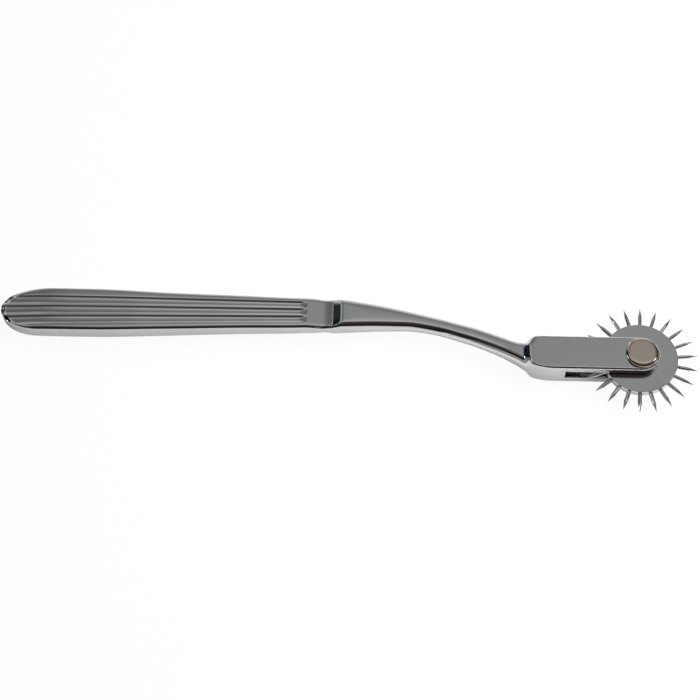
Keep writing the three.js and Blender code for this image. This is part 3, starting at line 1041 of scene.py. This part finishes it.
# Brightness of the sky by its lean in degrees, from the near side over the top to the far side
sky_levels = [
    (-180, 0.85), (-96, 0.9), (-83, 0.88), (-77, 0.25), (-72, 0.01), (-55, (0.02, 0.013, 0.013)),
    (-35, (0.05, 0.034, 0.034)), (-15, (0.075, 0.055, 0.055)), (-6, (0.12, 0.1, 0.1)), (-1, 0.3),
    (4, 0.6), (9, 0.74), (13, 0.64), (18, 0.5), (22, 0.43), (28, 0.4), (34, 0.38), (42, 0.27),
    (48, 0.26), (54, 0.38), (60, 0.55), (68, 0.7), (90, 0.85), (120, 0.95), (180, 0.85),
]
# How that brightness changes towards the butt (-1) and towards the wheel (1)
side_levels = [
    (-1.0, (0.004, 0.02, 0.028)), (-0.6, (0.004, 0.02, 0.028)), (-0.43, (0.008, 0.024, 0.032)),
    (-0.4, 1.4), (-0.345, 1.4), (-0.31, 0.38), (-0.25, 0.52), (-0.14, 0.8), (-0.04, 1.0),
    (0.3, 1.0), (0.42, 0.72), (0.55, 0.45), (0.7, 0.25), (0.82, 0.05), (1.0, 0.03),
]
# Soft lamps: where each stands, its width in degrees and its brightness
sky_spots = [
    dict(towards=(-0.78, 0.08, 0.61), width=9.0, level=4.5),
    dict(towards=(0.66, 0.1, 0.74), width=7.0, level=2.5),
    dict(towards=(0.27, -0.76, 0.59), width=4.0, level=1.5),
    dict(towards=(-0.93, -0.2, 0.3), width=22.0, level=0.35),
    dict(towards=(-0.5, 0.72, 0.48), width=20.0, level=0.35),
    dict(towards=(0.68, -0.68, 0.26), width=26.0, level=0.4),
    dict(towards=(-0.68, -0.68, 0.26), width=26.0, level=0.4),
]


def level_curve(tree, value, points):
    """A brightness that follows a drawn curve of a value from 0 to 1."""
    ramp = tree.nodes.new("ShaderNodeValToRGB")
    tree.links.new(value, ramp.inputs[0])
    stops = ramp.color_ramp.elements
    while len(stops) < len(points):
        stops.new(0.5)
    for stop, (place, level) in zip(stops, points):
        stop.position = place
        stop.color = (*level, 1) if isinstance(level, tuple) else (level, level, level, 1)
    return ramp.outputs[0]


def make_sky():
    world = bpy.data.worlds.new("studio_sky")
    bpy.context.scene.world = world
    world.use_nodes = True
    tree = world.node_tree
    sky = tree.nodes["Background"]
    towards = place_node(tree, "ShaderNodeTexCoord").outputs["Generated"]
    axes = place_node(tree, "ShaderNodeSeparateXYZ", None, Vector=towards).outputs
    lean = place_node(tree, "ShaderNodeMath", {"operation": "ARCTAN2"}, i0=axes["Y"],
                      i1=axes["Z"]).outputs[0]
    turn = place_node(tree, "ShaderNodeMapRange", None, Value=lean)
    turn.inputs["From Min"].default_value = math.radians(-180)
    turn.inputs["From Max"].default_value = math.radians(180)
    aside = place_node(tree, "ShaderNodeMapRange", None, Value=axes["X"])
    aside.inputs["From Min"].default_value = -1
    arch_stops = [((degrees + 180) / 360, level) for degrees, level in sky_levels]
    side_stops = [((place + 1) / 2, level) for place, level in side_levels]
    arch = level_curve(tree, turn.outputs[0], arch_stops)
    sides = level_curve(tree, aside.outputs[0], side_stops)
    light = place_node(tree, "ShaderNodeVectorMath", {"operation": "MULTIPLY"}, i0=arch,
                       i1=sides).outputs[0]
    for spot in sky_spots:
        aim = Vector(spot["towards"]).normalized()
        facing = place_node(tree, "ShaderNodeVectorMath", {"operation": "DOT_PRODUCT"},
                            i0=towards, i1=aim)
        glow = place_node(tree, "ShaderNodeMapRange", {"interpolation_type": "SMOOTHSTEP"},
                          Value=facing.outputs["Value"])
        glow.inputs["From Min"].default_value = math.cos(math.radians(spot["width"]))
        glow.inputs["From Max"].default_value = math.cos(math.radians(spot["width"] / 2))
        glow.inputs["To Max"].default_value = spot["level"]
        light = place_node(tree, "ShaderNodeVectorMath", {"operation": "ADD"}, i0=light,
                           i1=glow.outputs[0]).outputs[0]
    tree.links.new(light, sky.inputs["Color"])
    white = place_node(tree, "ShaderNodeBackground", None, Color=(1, 1, 1, 1), Strength=1.0)
    camera_ray = place_node(tree, "ShaderNodeLightPath").outputs["Is Camera Ray"]
    mix = place_node(tree, "ShaderNodeMixShader", None, i0=camera_ray, i1=sky.outputs[0],
                     i2=white.outputs[0])
    tree.links.new(mix.outputs[0], tree.nodes["World Output"].inputs["Surface"])


def make_panel():
    """A wide soft panel overhead, which the polished metal doesn't mirror."""
    panel = Sizes(side=0.4, watts=2.9, place=Vector((0.2, 0.06, 0.3)), aim=Vector((-0.08, 0, 0)))
    data = bpy.data.lights.new("soft_panel", "AREA")
    data.shape = "SQUARE"
    data.size = panel.side
    data.energy = panel.watts
    made = bpy.data.objects.new("soft_panel", data)
    made.location = panel.place
    made.rotation_euler = (panel.aim - panel.place).to_track_quat("-Z", "Y").to_euler()
    made.visible_glossy = False
    bpy.context.scene.collection.objects.link(made)


# The studio and the instrument put together


def dress(piece, body, node, material):
    piece.data.materials.clear()
    piece.data.materials.append(material)
    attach(piece, body)
    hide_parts(node)


make_camera()
make_floor()
make_sky()
make_panel()
bpy.context.scene.view_settings.view_transform = "Standard"

dress(make_forging(), "handle", "forged_handle", forging_steel)
dress(make_rivet(), "handle", "axle_rivet", rivet_nickel)
dress(make_disc(), "wheel", "wheel_disc", disc_steel)
for number in range(wheel.pins):
    dress(make_pin(number), "wheel", f"pin_{number + 1:02d}", pin_steel)
